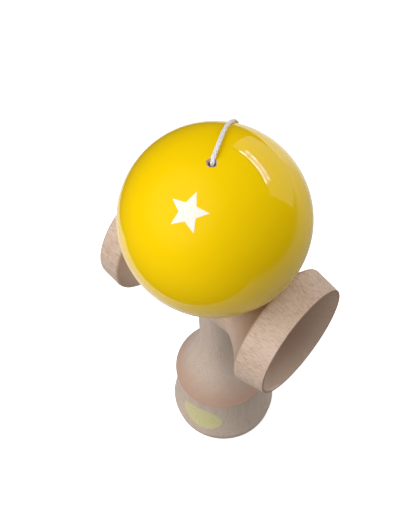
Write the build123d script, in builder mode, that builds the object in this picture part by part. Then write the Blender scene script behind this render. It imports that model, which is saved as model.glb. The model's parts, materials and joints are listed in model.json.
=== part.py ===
"""Kendama: a turned handle with a spike, a crosspiece with two cups, and a ball on a string.

Millimetres, +Z up. The origin is the middle of the rim that the handle stands on.
X runs along the crosspiece, with its big cup at +X. The ball sits on the spike.
The string leaves the top of the ball, hangs down at the back and ends in the crosspiece's +Y side.
"""

from build123d import *
from math import acos, cos, pi, radians, sin, sqrt, tan
import os

os.makedirs("parts", exist_ok=True)

# ---- clearances ----
spike_gap = 0.10  # between the spike's taper and the crosspiece's bore
shoulder_gap = 0.15  # between the handle's shoulder and the seat in the crosspiece
seat_gap = 0.40  # between the ball and the crosspiece it rests on
bead_gap = 0.30  # between the bead and the roof of the ball's bore
string_gap = 0.40  # round the string in its holes
end_gap = 0.30  # between string pieces that belong to different bodies
recess_gap = 0.30  # round the neck where it enters the crosspiece's seat

# ---- string ----
string_diameter = 1.5
string_radius = string_diameter / 2
hole_radius = string_radius + string_gap
mouth_chamfer = 0.55

# ---- crosspiece ----
axis_height = 100.6
half_length = 35.8
barrel_radius = 12.0
big_corner_x = 25.4
big_corner_radius = 22.2
big_rim_radius = 20.5
big_opening_radius = 19.7
big_cup_depth = 11.0
small_corner_x = 27.2
small_corner_radius = 21.4
small_rim_radius = 20.4
small_opening_radius = 17.9
small_cup_depth = 9.0
big_corner_fillet = 2.0
small_corner_fillet = 1.5
waist_fillet = 6.0
lip_fillet = 0.35
small_rim_fillet = 1.0
seat_recess = 2.2  # how far the seat for the handle's shoulder is cut into the barrel
cup_axis = Axis((0, 0, axis_height), (1, 0, 0))

# ---- handle ----
base_rim_radius = 19.9
base_opening_radius = 17.0
base_cup_depth = 8.5
base_belly_radius = 20.6
base_belly_height = 4.8
band_waist_radius = 18.9
band_waist_height = 15.5
ridge_radius = 18.45
ridge_height = 31.5
neck_radius = 7.7
neck_height = 66.0
spike_root_radius = 5.8
spike_tip_radius = 2.7
spike_tip_fillet = 2.2
ridge_fillet = 0.8
belly_fillet = 2.5
rim_fillet = 0.5

# ---- ball and bead ----
ball_radius = 30.0
ball_bore_radius = 8.2
ball_mouth_radius = 14.2
ball_roof = 11.0  # wood left between the bore and the top of the ball
bead_radius = 4.0
bead_height = 7.4
knot_radius = 1.5
knot_height = 2.4
tip_room = 1.4  # between the knot under the bead and the tip of the spike
string_entry = 2.0  # how far below the ball's top the outer string starts

# ---- places worked out from the sizes ----
shoulder_height = axis_height - barrel_radius + seat_recess - shoulder_gap
saddle_radius = ball_radius + seat_gap
ball_drop = max(
    big_corner_radius + sqrt(saddle_radius**2 - big_corner_x**2),
    small_corner_radius + sqrt(saddle_radius**2 - small_corner_x**2),
    barrel_radius + sqrt(saddle_radius**2 - ball_mouth_radius**2),
)
ball_height = axis_height + ball_drop
ball_top = ball_height + ball_radius
bore_roof_height = ball_top - ball_roof
bead_top = bore_roof_height - bead_gap
bead_bottom = bead_top - bead_height
knot_centre_height = bead_bottom - knot_height / 2
string_mouth_height = ball_top - string_entry
spike_tip_height = bead_bottom - knot_height - tip_room
spike_slope = (spike_root_radius - spike_tip_radius) / (spike_tip_height - shoulder_height)


def spike_radius_at(height):
    """Radius of the spike's taper at a height above the base."""
    return spike_root_radius - spike_slope * (height - shoulder_height)


def saddle_x(radius):
    """Distance from the middle at which the ball's saddle has this radius about the crosspiece's axis."""
    return sqrt(saddle_radius**2 - (ball_drop - radius) ** 2)


def hollow_middle(rim, floor, opening):
    """Middle point of a dished hollow's arc, from its floor on the axis to its opening."""
    depth = abs(rim - floor)
    dish_radius = (opening**2 + depth**2) / (2 * depth)
    half_angle = acos((dish_radius - depth) / dish_radius) / 2
    sunk = dish_radius * (1 - cos(half_angle))
    side = 1 if rim > floor else -1
    return floor + side * sunk, dish_radius * sin(half_angle)


# ---- handle: base cup, bell, neck and spike, turned in one piece ----
cup_sunk, cup_across = hollow_middle(0, base_cup_depth, base_opening_radius)
with BuildPart() as handle:
    with BuildSketch(Plane.XZ):
        with BuildLine():
            ThreePointArc((0, base_cup_depth), (cup_across, cup_sunk), (base_opening_radius, 0))
            Polyline((base_opening_radius, 0), (base_rim_radius, 0), (base_belly_radius, base_belly_height))
            ThreePointArc(
                (base_belly_radius, base_belly_height),
                (band_waist_radius, band_waist_height),
                (ridge_radius, ridge_height),
            )
            TangentArc((neck_radius, neck_height), (ridge_radius, ridge_height), tangent=(0, -1))
            Polyline(
                (neck_radius, neck_height),
                (neck_radius, shoulder_height),
                (spike_root_radius, shoulder_height),
                (spike_tip_radius, spike_tip_height),
                (0, spike_tip_height),
                (0, base_cup_depth),
            )
        make_face()
        for corner, corner_fillet_radius in (
            ((base_belly_radius, base_belly_height), belly_fillet),
            ((ridge_radius, ridge_height), ridge_fillet),
            ((spike_tip_radius, spike_tip_height), spike_tip_fillet),
            ((base_rim_radius, 0), rim_fillet),
        ):
            fillet(vertices().sort_by_distance(corner)[0], radius=corner_fillet_radius)
    revolve(axis=Axis.Z)
    spike_at_hole = spike_radius_at(axis_height)
    with BuildSketch(Plane.XZ.offset(-spike_at_hole - 1)):
        with Locations((0, axis_height)):
            Circle(hole_radius)
    extrude(amount=2 * spike_at_hole + 2, mode=Mode.SUBTRACT)
    with BuildSketch(Plane.XZ.offset(spike_at_hole - knot_height)):
        with Locations((0, axis_height)):
            Circle(knot_radius + string_gap)
    extrude(amount=knot_height + 1, mode=Mode.SUBTRACT)
handle.part.label = "handle"
export_step(handle.part, "parts/handle.step")

# ---- crosspiece: a barrel that flares out to a cup at each end, turned in one piece ----
big_sunk, big_across = hollow_middle(half_length, half_length - big_cup_depth, big_opening_radius)
small_sunk, small_across = hollow_middle(-half_length, small_cup_depth - half_length, small_opening_radius)
barrel_end = saddle_x(barrel_radius)
big_saddle_middle = (saddle_x((barrel_radius + big_corner_radius) / 2), (barrel_radius + big_corner_radius) / 2)
cross_plane = Plane(origin=(0, 0, axis_height), x_dir=(1, 0, 0), z_dir=(0, -1, 0))
with BuildPart() as crosspiece:
    with BuildSketch(cross_plane):
        with BuildLine():
            ThreePointArc(
                (half_length - big_cup_depth, 0),
                (big_sunk, big_across),
                (half_length, big_opening_radius),
            )
            Polyline(
                (half_length, big_opening_radius),
                (half_length, big_rim_radius),
                (big_corner_x, big_corner_radius),
            )
            ThreePointArc((big_corner_x, big_corner_radius), big_saddle_middle, (barrel_end, barrel_radius))
            Line((barrel_end, barrel_radius), (-barrel_end, barrel_radius))
            RadiusArc(
                (-barrel_end, barrel_radius),
                (-small_corner_x, small_corner_radius),
                saddle_radius,
            )
            Polyline(
                (-small_corner_x, small_corner_radius),
                (-half_length, small_rim_radius),
                (-half_length, small_opening_radius),
            )
            ThreePointArc(
                (-half_length, small_opening_radius),
                (small_sunk, small_across),
                (small_cup_depth - half_length, 0),
            )
            Line((small_cup_depth - half_length, 0), (half_length - big_cup_depth, 0))
        make_face()
        for corner, corner_fillet_radius in (
            ((big_corner_x, big_corner_radius), big_corner_fillet),
            ((-small_corner_x, small_corner_radius), small_corner_fillet),
            ((barrel_end, barrel_radius), waist_fillet),
            ((-barrel_end, barrel_radius), waist_fillet),
            ((half_length, big_rim_radius), lip_fillet),
            ((half_length, big_opening_radius), lip_fillet),
            ((-half_length, small_rim_radius), small_rim_fillet),
            ((-half_length, small_opening_radius), lip_fillet),
        ):
            fillet(vertices().sort_by_distance(corner)[0], radius=corner_fillet_radius)
    revolve(axis=cup_axis)
    seat_height = shoulder_height + shoulder_gap
    with BuildSketch(Plane.XY.offset(seat_height)):
        Circle(neck_radius + recess_gap)
    extrude(amount=-barrel_radius, mode=Mode.SUBTRACT)
    bore_top_height = axis_height + barrel_radius + 1
    with BuildSketch(Plane.XZ):
        with BuildLine():
            Polyline(
                (0, seat_height - 1),
                (spike_radius_at(seat_height - 1) + spike_gap, seat_height - 1),
                (spike_radius_at(bore_top_height) + spike_gap, bore_top_height),
                (0, bore_top_height),
                close=True,
            )
        make_face()
    revolve(axis=Axis.Z, mode=Mode.SUBTRACT)
    with BuildSketch(Plane.XZ.offset(-barrel_radius - 1)):
        with Locations((0, axis_height)):
            Circle(hole_radius)
    extrude(amount=barrel_radius + 1, mode=Mode.SUBTRACT)
crosspiece.part.label = "crosspiece"
export_step(crosspiece.part, "parts/crosspiece.step")

# ---- ball: bored from below for the spike, with a small hole for the string in its top ----
mouth_depth = sqrt(ball_radius**2 - ball_mouth_radius**2)
bevel_height = ball_mouth_radius - ball_bore_radius
hole_top_depth = sqrt(ball_radius**2 - (hole_radius + mouth_chamfer) ** 2)
with BuildPart() as ball:
    with BuildSketch(Plane.XZ):
        with BuildLine():
            ThreePointArc(
                (ball_mouth_radius, ball_height - mouth_depth),
                (ball_radius, ball_height),
                (hole_radius + mouth_chamfer, ball_height + hole_top_depth),
            )
            Polyline(
                (hole_radius + mouth_chamfer, ball_height + hole_top_depth),
                (hole_radius, ball_height + hole_top_depth - mouth_chamfer),
                (hole_radius, bore_roof_height),
                (ball_bore_radius, bore_roof_height),
                (ball_bore_radius, ball_height - mouth_depth + bevel_height),
                (ball_mouth_radius, ball_height - mouth_depth),
            )
        make_face()
    revolve(axis=Axis.Z)
ball.part.label = "ball"
export_step(ball.part, "parts/ball.step")

# ---- bead that the ball turns on, inside the top of its bore ----
bead_end_radius = sqrt(bead_radius**2 - (bead_height / 2) ** 2)
bead_hole_radius = string_radius + bead_gap
bead_centre_height = (bead_top + bead_bottom) / 2
with BuildPart() as bead:
    with BuildSketch(Plane.XZ):
        with BuildLine():
            ThreePointArc(
                (bead_end_radius, bead_bottom),
                (bead_radius, bead_centre_height),
                (bead_end_radius, bead_top),
            )
            Polyline(
                (bead_end_radius, bead_top),
                (bead_hole_radius, bead_top),
                (bead_hole_radius, bead_bottom),
                (bead_end_radius, bead_bottom),
            )
        make_face()
    revolve(axis=Axis.Z)
bead.part.label = "bead"
export_step(bead.part, "parts/bead.step")

# ---- knot under the bead ----
with BuildPart() as bead_knot:
    with BuildSketch(Plane.XZ):
        with Locations((0, knot_centre_height)):
            Rectangle(knot_radius, knot_height, align=(Align.MIN, Align.CENTER))
        fillet(vertices().group_by(Axis.X)[-1], radius=knot_height / 3)
    revolve(axis=Axis.Z)
bead_knot.part.label = "bead_knot"
export_step(bead_knot.part, "parts/bead_knot.step")

# ---- string inside the ball, from the knot through the bead to the hole's mouth ----
with BuildPart() as string_in_ball:
    with BuildSketch(Plane.XY.offset(bead_bottom)):
        Circle(string_radius)
    extrude(amount=string_mouth_height - bead_bottom)
string_in_ball.part.label = "string_in_ball"
export_step(string_in_ball.part, "parts/string_in_ball.step")

# ---- string outside: over the ball's back, down to the surface below, round, and up to the crosspiece ----
string_route = [
    (0.0, 0.0, string_mouth_height),
    (0.0, 0.0, 171.2),
    (-2.0, 5.5, 170.6),
    (-5.5, 13.2, 167.8),
    (-8.4, 20.3, 162.3),
    (-10.6, 25.6, 154.8),
    (-11.9, 28.6, 146.0),
    (-12.4, 29.8, 134.0),
    (-12.7, 30.2, 114.0),
    (-13.6, 30.9, 82.0),
    (-15.9, 32.4, 54.0),
    (-20.4, 35.2, 31.0),
    (-26.8, 38.9, 12.5),
    (-35.2, 43.0, 2.4),
    (-44.0, 49.3, 0.85),
    (-44.6, 58.5, 0.8),
    (-36.0, 61.0, 0.85),
    (-27.4, 56.2, 1.4),
    (-21.8, 47.2, 7.2),
    (-16.0, 38.0, 21.0),
    (-9.6, 30.2, 40.0),
    (-5.0, 26.0, 62.0),
    (-2.4, 24.2, 82.0),
    (-1.0, 21.6, 94.6),
    (-0.3, 17.4, 100.0),
    (0.0, barrel_radius + end_gap, axis_height),
]
arc_share = 0.45  # part of the shorter run that a corner's arc takes up
route_points = [Vector(*point) for point in string_route]
corner_radii = []
for before, corner, after in zip(route_points, route_points[1:], route_points[2:]):
    shorter_run = min((corner - before).length, (after - corner).length)
    turn = (corner - before).get_angle(after - corner)
    corner_radii.append(arc_share * shorter_run / tan(radians(turn) / 2))
print("string arc radii:", [round(radius, 1) for radius in corner_radii])
with BuildPart() as string_run:
    with BuildLine():
        string_path = FilletPolyline(*string_route, radius=corner_radii)
    with BuildSketch(Plane(origin=string_path @ 0, z_dir=string_path % 0)):
        Circle(string_radius)
    sweep()
string_run.part.label = "string_run"
export_step(string_run.part, "parts/string_run.step")
tube_share = string_run.part.volume / (pi * string_radius**2 * string_path.length)
print("string length outside:", round(string_path.length, 1), "volume over section times length:", round(tube_share, 4))

# ---- string through the crosspiece's side ----
bore_wall_at_hole = spike_at_hole + end_gap
with BuildPart() as string_in_crosspiece:
    with BuildSketch(Plane.XZ.offset(-barrel_radius)):
        with Locations((0, axis_height)):
            Circle(string_radius)
    extrude(amount=barrel_radius - bore_wall_at_hole)
string_in_crosspiece.part.label = "string_in_crosspiece"
export_step(string_in_crosspiece.part, "parts/string_in_crosspiece.step")

# ---- string through the spike, and the knot that stops it there ----
with BuildPart() as string_in_handle:
    with BuildSketch(Plane.XZ.offset(-spike_at_hole)):
        with Locations((0, axis_height)):
            Circle(string_radius)
    extrude(amount=2 * spike_at_hole - knot_height)
string_in_handle.part.label = "string_in_handle"
export_step(string_in_handle.part, "parts/string_in_handle.step")

with BuildPart() as handle_knot:
    with BuildSketch(Plane.XZ.offset(spike_at_hole - knot_height)):
        with Locations((0, axis_height)):
            Circle(knot_radius)
    extrude(amount=knot_height - end_gap)
    fillet(handle_knot.edges().group_by(Axis.Y)[0], radius=knot_radius / 2)
handle_knot.part.label = "handle_knot"
export_step(handle_knot.part, "parts/handle_knot.step")

print("ball centre:", round(ball_height, 2), "ball top:", round(ball_top, 2), "shoulder:", round(shoulder_height, 2))
print("spike radius at the string hole:", round(spike_at_hole, 2), "barrel end:", round(barrel_end, 2))
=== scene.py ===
"""Looks of a kendama: a turned beech handle and crosspiece, a lacquered ball, and a braided string.

Metres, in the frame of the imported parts: +Z up, with the origin in the middle of the rim that the handle
stands on. The crosspiece lies along X, its big cup at +X, and the string enters it from +Y.
"""

from __future__ import annotations

import json
import logging
import math
from dataclasses import dataclass, field
from enum import Enum
from functools import reduce
from typing import Any, Callable, Sequence

import bmesh
import bpy
from mathutils import Matrix, Vector


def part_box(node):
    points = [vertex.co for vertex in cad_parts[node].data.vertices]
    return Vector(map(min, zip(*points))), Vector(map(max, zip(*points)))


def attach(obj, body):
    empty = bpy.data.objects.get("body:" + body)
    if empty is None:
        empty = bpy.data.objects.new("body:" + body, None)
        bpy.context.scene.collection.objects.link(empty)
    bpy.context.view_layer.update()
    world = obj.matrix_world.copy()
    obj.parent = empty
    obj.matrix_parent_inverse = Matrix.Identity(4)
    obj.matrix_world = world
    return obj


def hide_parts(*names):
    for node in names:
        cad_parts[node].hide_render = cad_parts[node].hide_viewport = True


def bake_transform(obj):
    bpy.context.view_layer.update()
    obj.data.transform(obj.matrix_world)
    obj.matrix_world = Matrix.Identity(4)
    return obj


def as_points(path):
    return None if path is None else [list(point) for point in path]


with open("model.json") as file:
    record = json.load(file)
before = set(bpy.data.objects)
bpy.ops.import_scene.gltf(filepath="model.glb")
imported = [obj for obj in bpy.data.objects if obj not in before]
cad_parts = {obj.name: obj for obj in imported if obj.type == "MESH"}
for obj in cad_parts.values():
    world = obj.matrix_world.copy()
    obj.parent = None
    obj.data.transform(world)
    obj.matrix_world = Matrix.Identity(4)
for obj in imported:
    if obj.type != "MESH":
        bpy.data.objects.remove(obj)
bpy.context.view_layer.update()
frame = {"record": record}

logging.basicConfig(level=logging.INFO, format="%(message)s")
log = logging.getLogger("kendama")

FULL_TURN = 2 * math.pi
MERGED = 2e-7
DEGENERATE = 1e-7
INK_PROUD = 0.00004
INK_BODY = 0.00008

Point = tuple[float, float, float]
Colour = tuple[float, float, float, float]
Socket = bpy.types.NodeSocket
Outputs = bpy.types.NodeOutputs
Tree = bpy.types.NodeTree
Material = bpy.types.Material
Piece = bpy.types.Object

FLOAT = "NodeSocketFloat"
VECTOR = "NodeSocketVector"
COLOUR = "NodeSocketColor"
GEOMETRY = "NodeSocketGeometry"
INTEGER = "NodeSocketInt"
MATERIAL = "NodeSocketMaterial"


def across(node: str) -> Vector:
    """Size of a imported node's box along X, Y and Z."""
    low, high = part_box(node)
    return Vector(high) - Vector(low)


def middle(node: str) -> Vector:
    """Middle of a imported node's box."""
    low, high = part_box(node)
    return (Vector(low) + Vector(high)) / 2


def joint_place(name: str) -> Vector:
    """Point that a packed joint turns about."""
    joints = {joint["name"]: joint for joint in frame["record"]["behaviour"]["joints"]}
    return Vector(joints[name]["pos_m"])


def direction(azimuth: float, elevation: float) -> Vector:
    """Unit vector towards an azimuth, 0 at -Y and 90 at +X, and an elevation, in degrees."""
    turn, rise = math.radians(azimuth), math.radians(elevation)
    return Vector((math.sin(turn) * math.cos(rise), -math.cos(turn) * math.cos(rise), math.sin(rise)))


# ---------------------------------------------------------------- node trees


class Grain(Enum):
    """Turn of the wood's pattern, whose grain lies along X, and the direction that its fibres run in."""

    ALONG_X = ((0.0, 0.0, 0.0), (1.0, 0.0, 0.0))
    ALONG_Z = ((0.0, math.pi / 2, 0.0), (0.0, 0.0, 1.0))


class NodeWriter:
    """Adds nodes to a shader or geometry tree and links them."""

    def __init__(self, tree: Tree) -> None:
        """Starts writing in a tree."""
        self.tree = tree

    def feed(self, socket: Socket, value: Any) -> None:
        """Links a socket to an output, or sets its plain value."""
        if isinstance(value, Socket):
            self.tree.links.new(value, socket)
        else:
            socket.default_value = value

    def add(self, kind: str, inputs: dict[Any, Any] | None = None, **settings: Any) -> bpy.types.Node:
        """Adds one node.

        Args:
            kind: The node's type name.
            inputs: Values or outputs for its sockets, by socket name or number.
            settings: Values for the node's own settings.

        Returns:
            The new node.
        """
        node = self.tree.nodes.new(kind)
        for key, value in settings.items():
            setattr(node, key, value)
        for key, value in (inputs or {}).items():
            self.feed(node.inputs[key], value)
        return node

    def math(self, operation: str, *values: Any, clamp: bool = False) -> Socket:
        """Adds a Math node on numbers or outputs and returns its output."""
        inputs = dict(enumerate(values))
        return self.add("ShaderNodeMath", inputs, operation=operation, use_clamp=clamp).outputs[0]

    def product(self, *values: Any) -> Socket:
        """Multiplies numbers or outputs together."""
        return reduce(lambda left, right: self.math("MULTIPLY", left, right), values)

    def scaled(self, value: Any, factor: Any, shift: Any) -> Socket:
        """Multiplies a value by a factor and adds a shift."""
        return self.math("MULTIPLY_ADD", value, factor, shift)

    def vector(self, operation: str, *values: Any) -> Socket:
        """Adds a Vector Math node and returns its output, a number for a dot product or a length."""
        node = self.add("ShaderNodeVectorMath", dict(enumerate(values)), operation=operation)
        return node.outputs["Value" if operation in ("DOT_PRODUCT", "LENGTH") else "Vector"]

    def parts(self, vector: Any) -> Outputs:
        """Splits a vector and returns its X, Y and Z outputs."""
        return self.add("ShaderNodeSeparateXYZ", {0: vector}).outputs

    def ramp(self, value: Any, low: Any, high: Any, to_low: float = 0.0, to_high: float = 1.0) -> Socket:
        """Adds a smooth step from one value to another."""
        inputs = {"Value": value, "From Min": low, "From Max": high, "To Min": to_low, "To Max": to_high}
        return self.add("ShaderNodeMapRange", inputs, interpolation_type="SMOOTHSTEP").outputs["Result"]

    def mix(self, factor: Any, first: Any, second: Any) -> Socket:
        """Adds a mix of two colours."""
        inputs = {"Factor": factor, 6: first, 7: second}
        return self.add("ShaderNodeMix", inputs, data_type="RGBA").outputs[2]

    def noise(self, vector: Any, scale: float, detail: float = 2.0, rough: float = 0.5) -> Socket:
        """Adds a noise texture and returns its value output."""
        inputs = {"Vector": vector, "Scale": scale, "Detail": detail, "Roughness": rough}
        return self.add("ShaderNodeTexNoise", inputs).outputs["Fac"]

    def streaked(self, vector: Any, along: float, aside: float, detail: float, rough: float = 0.5) -> Socket:
        """Adds a noise that has one scale along X and another across it."""
        inputs = {"Vector": vector, "Scale": (along, aside, aside)}
        stretched = self.add("ShaderNodeMapping", inputs, vector_type="POINT").outputs[0]
        return self.noise(stretched, 1.0, detail, rough)

    def dressed(self, geometry: Any, material: Any) -> Socket:
        """Shades a geometry smooth, makes it real and sets its material."""
        for kind in ("GeometryNodeSetShadeSmooth", "GeometryNodeRealizeInstances"):
            geometry = self.add(kind, {"Geometry": geometry}).outputs[0]
        return self.add("GeometryNodeSetMaterial", {"Geometry": geometry, "Material": material}).outputs[0]

    @property
    def given(self) -> Outputs:
        """Inputs of the group that is being written, by name."""
        return self.tree.nodes["Group Input"].outputs

    def give(self, **results: Any) -> Tree:
        """Feeds the group's outputs and returns the group."""
        for label, value in results.items():
            self.feed(self.tree.nodes["Group Output"].inputs[label], value)
        return self.tree


def open_group(name: str, kind: str, inputs: dict[str, str], outputs: dict[str, str]) -> NodeWriter:
    """Makes an empty node group.

    Args:
        name: The group's name.
        kind: ShaderNodeTree or GeometryNodeTree.
        inputs: Socket types by input name.
        outputs: Socket types by output name.

    Returns:
        A writer in the group, with its input and output nodes in place.
    """
    group = bpy.data.node_groups.new(name, kind)
    for side, sockets in (("INPUT", inputs), ("OUTPUT", outputs)):
        for label, socket_type in sockets.items():
            group.interface.new_socket(name=label, in_out=side, socket_type=socket_type)
        group.nodes.new(f"NodeGroup{side.title()}")
    return NodeWriter(group)


class ShaderGroups:
    """Effects that several finishes share, each built once."""

    def __init__(self) -> None:
        """Builds the groups."""
        self.beech = self._beech()
        self.wear = self._wear()
        self.handling = self._handling()

    @staticmethod
    def _beech() -> Tree:
        """Beech cut by turning: soft growth rings, long streaks, and thin dark lines along the grain."""
        inputs = {"Vector": VECTOR, "Pale": COLOUR, "Dark": COLOUR, "Fleck": COLOUR, "Fleck Strength": FLOAT}
        outputs = {"Color": COLOUR, "Height": FLOAT, "Flecks": FLOAT}
        write = open_group("beech_grain", "ShaderNodeTree", inputs, outputs)
        given = write.given
        place = given["Vector"]
        warp = write.streaked(place, 9.0, 60.0, 2.0)
        heart = (0.0, 0.034, 0.021)
        reach = write.vector("LENGTH", write.vector("MULTIPLY_ADD", place, (0.0, 1.0, 1.0), heart))
        turns = write.scaled(reach, 1500.0, write.product(warp, 9.0))
        rings = write.scaled(write.math("SINE", turns), 0.5, 0.5)
        streaks = write.streaked(place, 60.0, 2400.0, 3.0, 0.6)
        clouds = write.streaked(place, 25.0, 90.0, 3.0)
        tone = write.scaled(rings, 0.07, write.scaled(streaks, 0.70, write.product(clouds, 0.35)))
        body = write.mix(write.ramp(tone, 0.32, 0.92), given["Pale"], given["Dark"])
        long_flecks = write.ramp(write.streaked(place, 60.0, 3300.0, 1.0, 0.4), 0.48, 0.68)
        short_flecks = write.ramp(write.streaked(place, 150.0, 5200.0, 1.0, 0.4), 0.54, 0.70)
        flecks = write.math("MAXIMUM", long_flecks, write.product(short_flecks, 0.6))
        patches = write.ramp(write.streaked(place, 40.0, 120.0, 2.0), 0.28, 0.62, 0.55, 1.0)
        shown = write.product(flecks, patches, given["Fleck Strength"])
        height = write.math("SUBTRACT", write.product(streaks, 0.5), shown)
        return write.give(Color=write.mix(shown, body, given["Fleck"]), Height=height, Flecks=shown)

    @staticmethod
    def _wear() -> Tree:
        """Edges rubbed by hands: a mask that is 1 on worn corners and breaks up along them."""
        inputs = {"Vector": VECTOR, "Low": FLOAT, "High": FLOAT}
        write = open_group("rubbed_edges", "ShaderNodeTree", inputs, {"Mask": FLOAT})
        corner = write.add("ShaderNodeNewGeometry").outputs["Pointiness"]
        mask = write.ramp(corner, write.given["Low"], write.given["High"])
        broken = write.ramp(write.noise(write.given["Vector"], 420.0, 3.0), 0.32, 0.66, 0.35, 1.0)
        return write.give(Mask=write.product(mask, broken))

    @staticmethod
    def _handling() -> Tree:
        """Marks left by handling: broad smudges with fine rubs in them."""
        write = open_group("handling_marks", "ShaderNodeTree", {"Vector": VECTOR}, {"Mask": FLOAT})
        broad = write.ramp(write.noise(write.given["Vector"], 55.0, 3.0), 0.42, 0.72)
        fine = write.noise(write.given["Vector"], 900.0, 2.0)
        return write.give(Mask=write.product(broad, write.scaled(fine, 0.6, 0.5)))


# ---------------------------------------------------------------- finishes


class Finish:
    """A material with its Principled shader, ready to be dressed."""

    def __init__(self, name: str) -> None:
        """Makes an empty material with a Principled shader."""
        self.material = bpy.data.materials.new(name)
        self.material.use_nodes = True
        self.write = NodeWriter(self.material.node_tree)
        self.shader = self.material.node_tree.nodes["Principled BSDF"]
        self.place = self.write.add("ShaderNodeTexCoord").outputs["Object"]

    def group(self, tree: Tree, **inputs: Any) -> Outputs:
        """Places a shared group with its own values, underscores for spaces, and returns its outputs."""
        named = {label.replace("_", " "): value for label, value in inputs.items()}
        node = self.write.add("ShaderNodeGroup", node_tree=tree)
        for label, value in {"Vector": self.place, **named}.items():
            self.write.feed(node.inputs[label], value)
        return node.outputs

    def bump(self, height: Any, distance: float) -> None:
        """Sends a height to the shader's normal."""
        node = self.write.add("ShaderNodeBump", {"Height": height, "Distance": distance, "Strength": 1.0})
        self.write.feed(self.shader.inputs["Normal"], node.outputs["Normal"])

    def set(self, **values: Any) -> None:
        """Sets or links the shader's sockets, given with underscores for spaces."""
        for label, value in values.items():
            self.write.feed(self.shader.inputs[label.replace("_", " ")], value)


@dataclass(frozen=True)
class WarmBand:
    """A darker, redder band round a turned piece, from one height fading to another."""

    colour: Colour = (0.45, 0.255, 0.17, 1.0)
    low: float = 0.0312
    high: float = 0.0450
    strength: float = 0.62


@dataclass(frozen=True)
class BeechFinish:
    """Bare sanded beech."""

    name: str
    grain: Grain
    pale: Colour = (0.75, 0.585, 0.465, 1.0)
    dark: Colour = (0.59, 0.425, 0.32, 1.0)
    fleck: Colour = (0.38, 0.225, 0.145, 1.0)
    worn: Colour = (0.86, 0.75, 0.65, 1.0)
    fleck_strength: float = 0.62
    roughness: float = 0.56
    pore_depth: float = 0.00006
    # How far end grain darkens towards the fleck colour: partly the wood's own darker end grain, partly
    # painted shade in the cup hollows
    end_grain_tone_and_painted_shade: float = 0.80
    band: WarmBand | None = None

    def material(self, groups: ShaderGroups) -> Material:
        """Builds the material from the shared groups."""
        finish = Finish(self.name)
        write = finish.write
        rotation, fibres = self.grain.value
        turned = write.add("ShaderNodeMapping", {"Vector": finish.place, "Rotation": rotation}).outputs[0]
        facing = write.add("ShaderNodeTexCoord").outputs["Normal"]
        across_fibres = write.math("ABSOLUTE", write.vector("DOT_PRODUCT", facing, fibres))
        end_grain = write.ramp(across_fibres, 0.35, 0.90)
        wood = finish.group(
            groups.beech,
            Vector=turned,
            Pale=self.pale,
            Dark=self.dark,
            Fleck=self.fleck,
            Fleck_Strength=write.scaled(end_grain, -0.8 * self.fleck_strength, self.fleck_strength),
        )
        worn = finish.group(groups.wear, Low=0.515, High=0.60)["Mask"]
        marks = finish.group(groups.handling)["Mask"]
        # Darker end grain, which lines the cup hollows: partly the wood's own tone, partly painted shade
        colour = write.mix(write.product(end_grain, self.end_grain_tone_and_painted_shade), wood["Color"], self.fleck)
        colour = write.mix(write.product(worn, 0.55), colour, self.worn)
        colour = write.mix(write.product(marks, 0.16), colour, self.dark)
        if self.band is not None:
            height = write.parts(finish.place)["Z"]
            above = write.math("GREATER_THAN", height, self.band.low)
            fade = write.ramp(height, self.band.low, self.band.high, self.band.strength, 0.0)
            colour = write.mix(write.product(above, fade), colour, self.band.colour)
        rough = write.scaled(marks, -0.08, write.scaled(wood["Flecks"], 0.12, self.roughness))
        finish.set(Base_Color=colour, Roughness=rough)
        finish.bump(wood["Height"], self.pore_depth)
        return finish.material


@dataclass(frozen=True)
class LacquerFinish:
    """Glossy coloured lacquer over wood, with a few rubbed patches."""

    name: str = "yellow_lacquer"
    colour: Colour = (0.955, 0.64, 0.002, 1.0)
    deep: Colour = (0.90, 0.56, 0.001, 1.0)
    roughness: float = 0.020
    ripple_depth: float = 0.000002

    def material(self, groups: ShaderGroups) -> Material:
        """Builds the material from the shared groups."""
        finish = Finish(self.name)
        write = finish.write
        marks = finish.group(groups.handling)["Mask"]
        flow = write.ramp(write.noise(finish.place, 38.0, 2.0), 0.30, 0.75)
        colour = write.mix(write.product(flow, 0.35), self.colour, self.deep)
        finish.set(Base_Color=colour, Roughness=write.scaled(marks, 0.012, self.roughness), IOR=1.50)
        finish.bump(write.noise(finish.place, 520.0, 1.0), self.ripple_depth)
        return finish.material


@dataclass(frozen=True)
class InkFinish:
    """Printed ink, a little thin in places."""

    name: str
    colour: Colour
    thin: Colour
    roughness: float = 0.35

    def material(self) -> Material:
        """Builds the material."""
        finish = Finish(self.name)
        speckle = finish.write.ramp(finish.write.noise(finish.place, 1400.0, 3.0), 0.46, 0.74)
        finish.set(Base_Color=finish.write.mix(speckle, self.colour, self.thin), Roughness=self.roughness)
        finish.bump(speckle, 0.000006)
        return finish.material


@dataclass(frozen=True)
class BeadFinish:
    """Smooth moulded bead with faint flow lines."""

    name: str = "bead_gloss"
    colour: Colour = (0.80, 0.77, 0.70, 1.0)
    shade: Colour = (0.70, 0.66, 0.58, 1.0)

    def material(self, groups: ShaderGroups) -> Material:
        """Builds the material from the shared groups."""
        finish = Finish(self.name)
        write = finish.write
        worn = finish.group(groups.wear, Low=0.52, High=0.62)["Mask"]
        flow = write.streaked(finish.place, 300.0, 120.0, 2.0)
        rough = write.scaled(worn, 0.25, 0.16)
        finish.set(Base_Color=write.mix(flow, self.colour, self.shade), Roughness=rough)
        finish.bump(flow, 0.00001)
        return finish.material


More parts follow.
